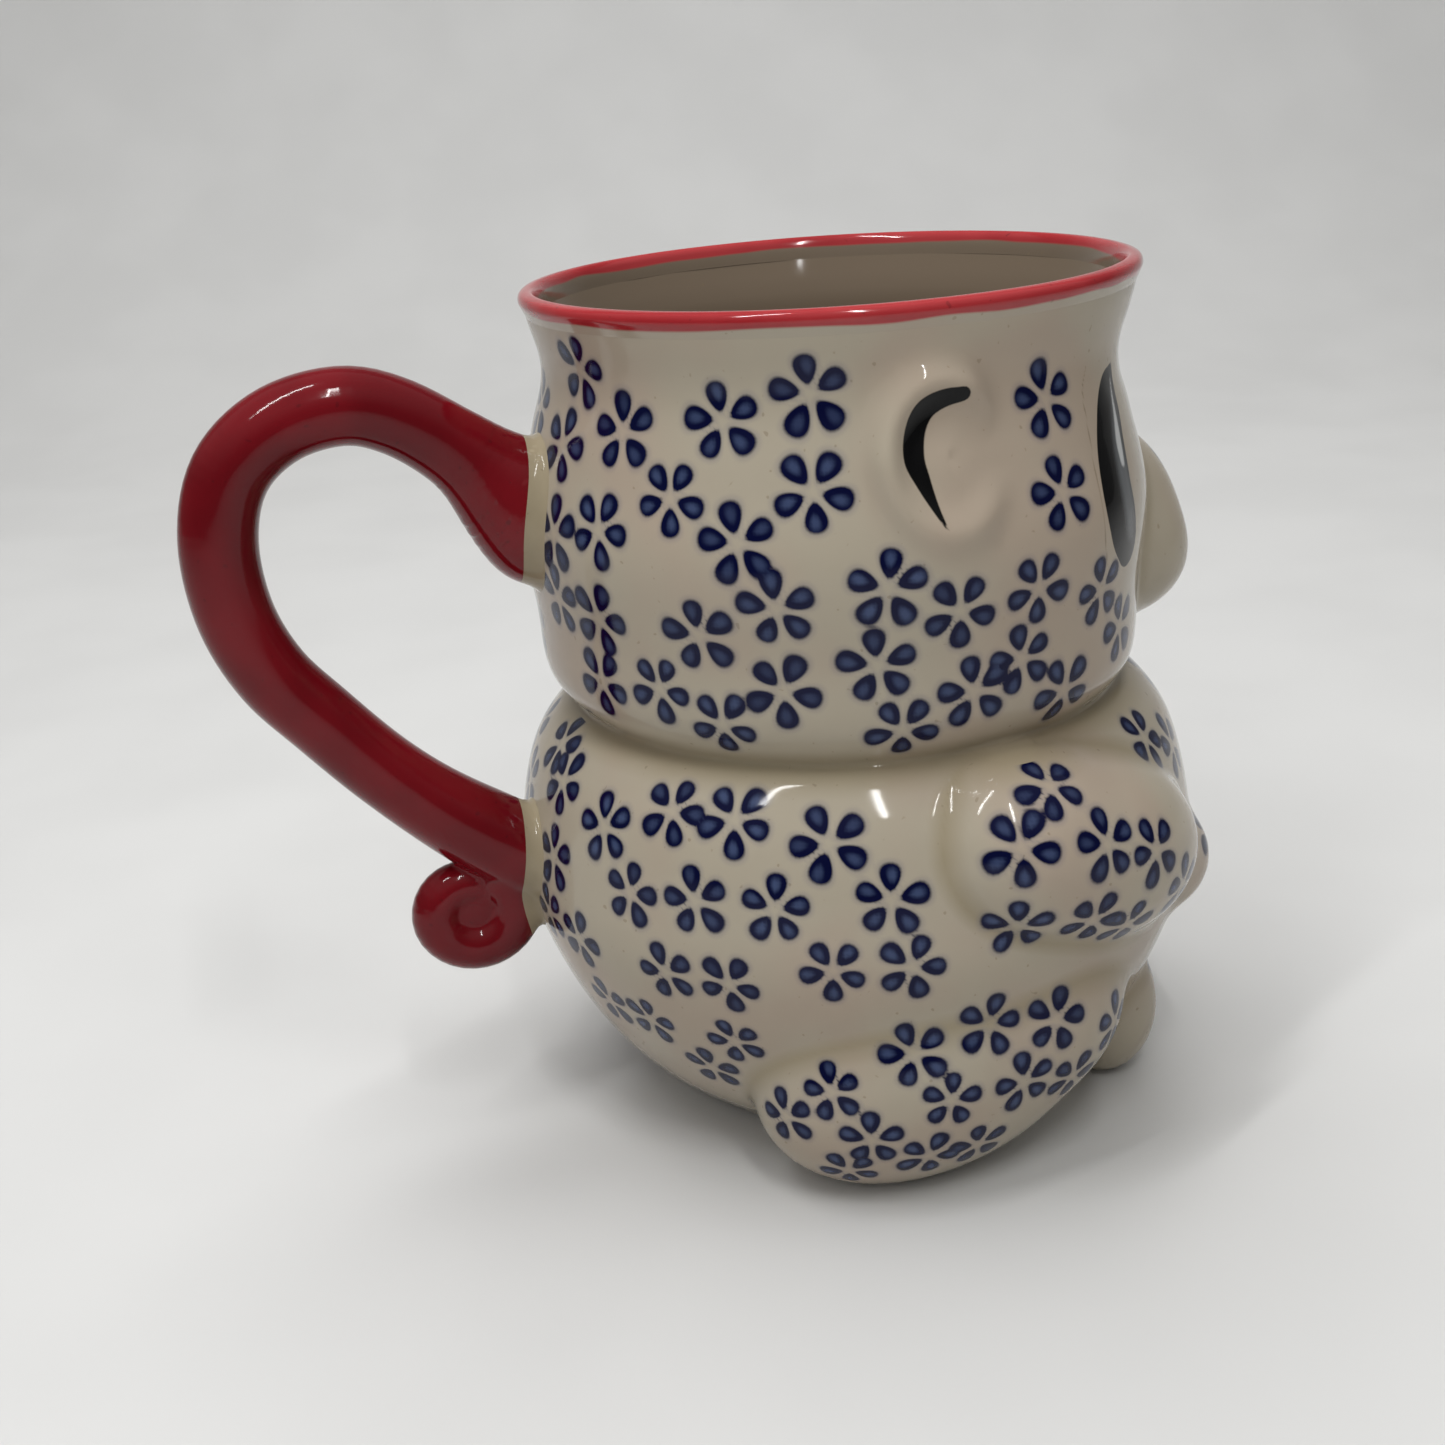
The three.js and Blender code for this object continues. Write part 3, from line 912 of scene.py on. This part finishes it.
def surface_net(distance, low, high, step):
    """Vertices and quads on the zero level of a distance function."""
    axes = [np.arange(a, b + step, step) for a, b in zip(low, high)]
    grid = np.stack(np.meshgrid(*axes, indexing="ij"), -1)
    shape = grid.shape[:3]
    field = distance(grid.reshape(-1, 3)).reshape(shape)
    inside = field < 0
    count = np.zeros([n - 1 for n in shape], int)
    for dx in (0, 1):
        for dy in (0, 1):
            for dz in (0, 1):
                count += inside[dx:shape[0] - 1 + dx, dy:shape[1] - 1 + dy, dz:shape[2] - 1 + dz]
    mixed = (count > 0) & (count < 8)
    number = np.full(count.shape, -1)
    number[mixed] = np.arange(mixed.sum())
    points = np.array(low) + (np.argwhere(mixed) + 0.5) * step
    quads = []
    for axis in range(3):
        u, v = (axis + 1) % 3, (axis + 2) % 3
        here = [slice(1, -1)] * 3
        here[axis] = slice(0, -1)
        ahead = [slice(1, -1)] * 3
        ahead[axis] = slice(1, None)
        change = inside[tuple(here)].astype(int) - inside[tuple(ahead)].astype(int)
        at = np.argwhere(change != 0)
        sign = change[tuple(at.T)]
        at[:, u] += 1
        at[:, v] += 1
        corners = []
        for du, dv in ((0, 0), (-1, 0), (-1, -1), (0, -1)):
            cell = at.copy()
            cell[:, u] += du
            cell[:, v] += dv
            corners.append(number[tuple(cell.T)])
        quad = np.stack(corners, -1)
        quads.append(np.where(sign[:, None] > 0, quad, quad[:, ::-1]))
    return points, np.concatenate(quads)


def gradient(distance, p, h=0.05):
    """Unit direction in which a distance function grows fastest."""
    g = np.stack([distance(p + h * e) - distance(p - h * e) for e in np.eye(3)], -1)
    return g / np.maximum(np.linalg.norm(g, axis=1, keepdims=True), 1e-9)


def onto_cut(p):
    """Moves points along the tail's surface to the edge where the red begins."""
    for _ in range(CUT_SETTLING):
        out = gradient(rooted_distance, p)
        away = gradient(wall_gap, p)
        along = away - (away * out).sum(axis=1, keepdims=True) * out
        slope = np.maximum((along**2).sum(axis=1, keepdims=True), 0.1)
        step = (COLLAR_WIDTH - wall_gap(p))[:, None] * along / slope
        p = p + np.clip(step, -NET_STEP, NET_STEP)
        p = p - rooted_distance(p)[:, None] * gradient(rooted_distance, p)
    return p


def loop_hubs(points, edges):
    """The middle of each loop of open edges, and the loop's number for every edge."""
    label = np.arange(len(points))
    while True:
        low = np.minimum(label[edges[:, 0]], label[edges[:, 1]])
        before = label.copy()
        np.minimum.at(label, edges[:, 0], low)
        np.minimum.at(label, edges[:, 1], low)
        if (before == label).all():
            break
    _, number = np.unique(label[edges[:, 0]], return_inverse=True)
    hubs = [points[edges[number == k, 0]].mean(axis=0) for k in range(number.max() + 1)]
    return np.array(hubs), number


def capped_piece(name, points, normals, faces, paint):
    """A closed solid of one patch of surface, with each open loop closed by a fan to its middle."""
    used = np.unique(faces)
    place = np.full(len(points), -1)
    place[used] = np.arange(len(used))
    skin = place[faces]
    edges = open_edges(skin)
    hubs, number = loop_hubs(points[used], edges)
    solid = np.vstack([points[used], hubs])
    cap = np.column_stack([edges[:, 1], edges[:, 0], len(used) + number])
    values = {key: np.full(len(solid), value) for key, value in paint.items()}
    return make_mesh(name, solid, [skin, cap], [normals[used][skin], face_normals(solid, cap)], values)


def tail_pieces():
    """The red tail and curl, and the cream collars between them and the wall."""
    points, quads = surface_net(rooted_distance, NET_LOW, NET_HIGH, NET_STEP)
    close = tail_distance(points) < COLLAR_SPREAD + 2 * NET_STEP
    quads = quads[close[quads].all(axis=1)]
    for _ in range(NET_SETTLING):
        points[close] -= rooted_distance(points[close])[:, None] * gradient(rooted_distance, points[close])
    middle = points[quads].mean(axis=1)
    red = wall_gap(middle) > COLLAR_WIDTH
    near_tail = tail_distance(middle) < COLLAR_SPREAD
    rim = np.intersect1d(quads[red], quads[~red & near_tail])
    points[rim] = onto_cut(points[rim])
    normals = np.zeros(points.shape)
    normals[close] = gradient(rooted_distance, points[close])
    handle, curl = tail_parts(middle)
    high = middle[:, 2] > WAIST
    parts = {
        "tail_handle": (red & (handle <= curl), {}),
        "tail_curl": (red & (handle > curl), {}),
        "upper_collar": (~red & near_tail & high, COLLAR_PAINT),
        "lower_collar": (~red & near_tail & ~high, COLLAR_PAINT),
    }
    return {
        name: capped_piece(name, points, normals, quads[mine], paint) for name, (mine, paint) in parts.items()
    }


TAIL = tail_pieces()


# ---- materials ----
class Nodes:
    """Small helper that adds nodes to one material."""

    def __init__(self, name):
        self.material = bpy.data.materials.new(name)
        self.material.use_nodes = True
        self.tree = self.material.node_tree
        self.shader = self.tree.nodes["Principled BSDF"]

    def link(self, source, target):
        self.tree.links.new(source, target)

    def attribute(self, name):
        node = self.tree.nodes.new("ShaderNodeAttribute")
        node.attribute_name = name
        return node.outputs["Fac"]

    def ramp(self, source, low, high, start=0.0, end=1.0):
        node = self.tree.nodes.new("ShaderNodeMapRange")
        node.interpolation_type = "SMOOTHSTEP"
        for key, value in (("From Min", low), ("From Max", high), ("To Min", start), ("To Max", end)):
            node.inputs[key].default_value = value
        self.link(source, node.inputs["Value"])
        return node.outputs["Result"]

    def mix(self, factor, first, second):
        node = self.tree.nodes.new("ShaderNodeMix")
        node.data_type = "RGBA"
        for socket, value in (("Factor", factor), ("A", first), ("B", second)):
            target = next(s for s in node.inputs if s.name == socket and s.enabled)
            if isinstance(value, bpy.types.NodeSocket):
                self.link(value, target)
            else:
                target.default_value = value
        return next(s for s in node.outputs if s.enabled)

    def multiply(self, first, second):
        node = self.tree.nodes.new("ShaderNodeMath")
        node.operation = "MULTIPLY"
        for k, value in enumerate((first, second)):
            if isinstance(value, bpy.types.NodeSocket):
                self.link(value, node.inputs[k])
            else:
                node.inputs[k].default_value = value
        return node.outputs[0]

    def noise(self, size_mm, detail=2.0):
        """Noise in the object's own space, with features about size_mm across."""
        place = self.tree.nodes.new("ShaderNodeTexCoord")
        node = self.tree.nodes.new("ShaderNodeTexNoise")
        node.inputs["Scale"].default_value = 1000.0 / size_mm
        node.inputs["Detail"].default_value = detail
        self.link(place.outputs["Object"], node.inputs["Vector"])
        return node.outputs["Fac"]

    def bump(self, height, depth_mm, strength=1.0):
        node = self.tree.nodes.new("ShaderNodeBump")
        node.inputs["Strength"].default_value = strength
        node.inputs["Distance"].default_value = depth_mm * MM
        self.link(height, node.inputs["Height"])
        self.link(node.outputs["Normal"], self.shader.inputs["Normal"])

    def set(self, **values):
        for key, value in values.items():
            self.shader.inputs[key.replace("_", " ")].default_value = value


def colour(red, green, blue):
    """Linear colour from display values of 0 to 255."""
    shares = (red / 255, green / 255, blue / 255)
    return tuple(((c + 0.055) / 1.055) ** 2.4 if c > 0.04 else c / 12.92 for c in shares) + (1,)


GLAZE = colour(168, 159, 142)
GLAZE_WARM = colour(167, 153, 137)
GLAZE_POOLED = colour(142, 130, 104)
# painted shade: the inside of the cup is coloured darker than the outside
INSIDE_PAINTED_SHADE = colour(112, 99, 84)
SPECK = colour(120, 104, 82)
NAVY = colour(4, 8, 46)
SLATE = colour(66, 79, 112)
BLACK = colour(10, 10, 11)
GLINT = colour(190, 192, 192)
# grey of the painted reflection on the eyes
PAINTED_REFLECTION = colour(104, 107, 110)


def plain_cream(m):
    """The colour of the clear glaze over pale clay, thicker in creases, and darker inside the cup as painted
    shade.
    """
    base = m.mix(m.ramp(m.noise(26), 0.42, 0.66), GLAZE, GLAZE_WARM)
    base = m.mix(m.multiply(m.attribute("pool"), 0.75), base, GLAZE_POOLED)
    # painted shade inside the cup
    base = m.mix(m.attribute("inside"), base, INSIDE_PAINTED_SHADE)
    return m.mix(m.ramp(m.noise(0.9, 0.0), 0.8, 0.86, 0, 0.4), base, SPECK)


def cream_glaze():
    """Clear glaze over pale clay, with blue petals, black strokes and the eyes' glints under it, and a
    painted reflection on each eye.
    """
    m = Nodes("cream_stoneware_glaze")
    light = m.mix(m.multiply(m.attribute("tone"), 0.7), SLATE, NAVY)
    ink = m.mix(m.ramp(m.attribute("blotch"), 0.36, -0.34, 0, 0.95), NAVY, light)
    bleed = m.mix(m.ramp(m.attribute("petal"), 0.6, 0.0, 0, 0.22), plain_cream(m), SLATE)
    base = m.mix(m.ramp(m.attribute("petal"), 0.16, -0.2), bleed, ink)
    base = m.mix(m.ramp(m.attribute("hairline"), 0.15, -0.1, 0, 0.55), base, SPECK)
    base = m.mix(m.ramp(m.attribute("black"), 0.12, -0.1), base, BLACK)
    # painted reflection: turns the right half of each eye grey
    base = m.mix(m.ramp(m.attribute("painted_reflection"), 0.9, -1.4, 0, 0.8), base, PAINTED_REFLECTION)
    base = m.mix(m.ramp(m.attribute("glint"), 0.3, -0.3), base, GLINT)
    m.link(base, m.shader.inputs["Base Color"])
    m.set(Roughness=0.08, IOR=1.5, Specular_IOR_Level=0.19)
    m.bump(m.noise(7.0, 1.0), 0.05)
    return m.material


def red_glaze(name, deep, bright, shine, over_cream=False):
    """Red glaze, which ends at the band's edge where it lies over the cream."""
    m = Nodes(name)
    base = m.mix(m.ramp(m.noise(14), 0.35, 0.7), deep, bright)
    base = m.mix(m.ramp(m.noise(0.9, 0.0), 0.78, 0.84, 0, 0.35), base, colour(60, 12, 18))
    if over_cream:
        base = m.mix(m.ramp(m.attribute("band"), -0.15, 0.25), plain_cream(m), base)
    m.link(base, m.shader.inputs["Base Color"])
    m.set(Roughness=0.1, IOR=1.5, Specular_IOR_Level=shine)
    m.bump(m.noise(6.0, 1.0), 0.06)
    return m.material


CREAM = cream_glaze()
TAIL_RED = red_glaze("tail_red_glaze", colour(94, 8, 17), colour(110, 14, 23), 0.28)
RIM_RED = red_glaze("rim_red_glaze", colour(150, 32, 38), colour(162, 46, 50), 0.5, over_cream=True)

for name, piece in {**GLAZED, **TAIL}.items():
    tail = name.startswith("tail_")
    rim = name == "rim_lip"
    piece.data.materials.append(TAIL_RED if tail else RIM_RED if rim else CREAM)
    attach(piece, "root")
    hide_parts(name)
    piece.name = name + "_glazed"


# ---- floor, light and camera ----
def backdrop():
    """A pale sweep: flat under the mug, curving up behind it."""
    away = Vector((0.903, -0.257, 0)).normalized()
    across = Vector((-away.y, away.x, 0))
    section = [(-0.9, 0.0), (0.5, 0.0)]
    bend = np.linspace(0.05, math.pi / 2, 24)
    section += [(0.5 + 0.35 * math.sin(a), 0.35 - 0.35 * math.cos(a)) for a in bend]
    section += [(0.85, 1.4)]
    points = [tuple(away * d + across * side + Vector((0, 0, h))) for side in (-1.6, 1.6) for d, h in section]
    n = len(section)
    faces = [(k, k + 1, n + k + 1, n + k) for k in range(n - 1)]
    mesh = bpy.data.meshes.new("sweep")
    mesh.from_pydata(points, [], faces)
    for face in mesh.polygons:
        face.use_smooth = True
    sweep = bpy.data.objects.new("sweep", mesh)
    bpy.context.scene.collection.objects.link(sweep)
    m = Nodes("pale_paper")
    base = m.mix(m.ramp(m.noise(60), 0.3, 0.7), colour(202, 202, 201), colour(206, 206, 205))
    m.link(base, m.shader.inputs["Base Color"])
    m.set(Roughness=0.6)
    m.bump(m.noise(0.8), 0.01)
    mesh.materials.append(m.material)


def area_light(name, place, target, size, watts, shows=True):
    """A soft light. One that doesn't show lights the glaze without a mirror image in it."""
    data = bpy.data.lights.new(name, "AREA")
    data.shape = "RECTANGLE"
    data.size, data.size_y = size
    data.energy = watts
    lamp = bpy.data.objects.new(name, data)
    bpy.context.scene.collection.objects.link(lamp)
    lamp.location = place
    lamp.rotation_mode = "QUATERNION"
    lamp.rotation_quaternion = (Vector(target) - Vector(place)).to_track_quat("-Z", "Y")
    lamp.visible_glossy = shows


def world_light(low, high):
    """Soft light, dim near the horizon and bright overhead."""
    world = bpy.data.worlds.new("room")
    world.use_nodes = True
    tree = world.node_tree
    place = tree.nodes.new("ShaderNodeTexCoord")
    parts = tree.nodes.new("ShaderNodeSeparateXYZ")
    ramp = tree.nodes.new("ShaderNodeMapRange")
    ramp.interpolation_type = "SMOOTHSTEP"
    for key, value in (("From Min", 0.15), ("From Max", 0.8), ("To Min", low), ("To Max", high)):
        ramp.inputs[key].default_value = value
    tree.links.new(place.outputs["Generated"], parts.inputs["Vector"])
    tree.links.new(parts.outputs["Z"], ramp.inputs["Value"])
    tree.links.new(ramp.outputs["Result"], tree.nodes["Background"].inputs["Strength"])
    tree.nodes["Background"].inputs["Color"].default_value = (1.0, 0.99, 0.97, 1)
    bpy.context.scene.world = world


def camera():
    data = bpy.data.cameras.new("camera")
    data.sensor_width = 36
    data.lens = 46.1
    data.clip_start, data.clip_end = 0.01, 20
    cam = bpy.data.objects.new("camera", data)
    bpy.context.scene.collection.objects.link(cam)
    cam.location = (-0.2417, 0.0880, 0.1485)
    aim = Vector((0.002, 0.0186, 0.0554)) - cam.location
    cam.rotation_mode = "QUATERNION"
    roll = Quaternion((0, 0, 1), math.radians(-4.1))
    cam.rotation_quaternion = aim.to_track_quat("-Z", "Y") @ roll
    bpy.context.scene.camera = cam
    return cam


backdrop()
area_light("overhead", (0.26, -0.02, 0.97), (0.0, 0.0, 0.0), (0.8, 0.8), 6.9, shows=False)
area_light("camera_side", (-0.55, 0.45, 0.5), (0, 0.02, 0.07), (0.6, 0.45), 1.0, shows=False)
area_light("window", (-0.32, 0.04, 0.5), (0, 0.0, 0.06), (0.014, 0.2), 0.7)
area_light("tube", (-0.12, 0.22, 0.6), (0, 0.03, 0.08), (0.02, 0.3), 1.0)
world_light(0.11, 0.44)
camera()
bpy.context.scene.view_settings.view_transform = "Standard"
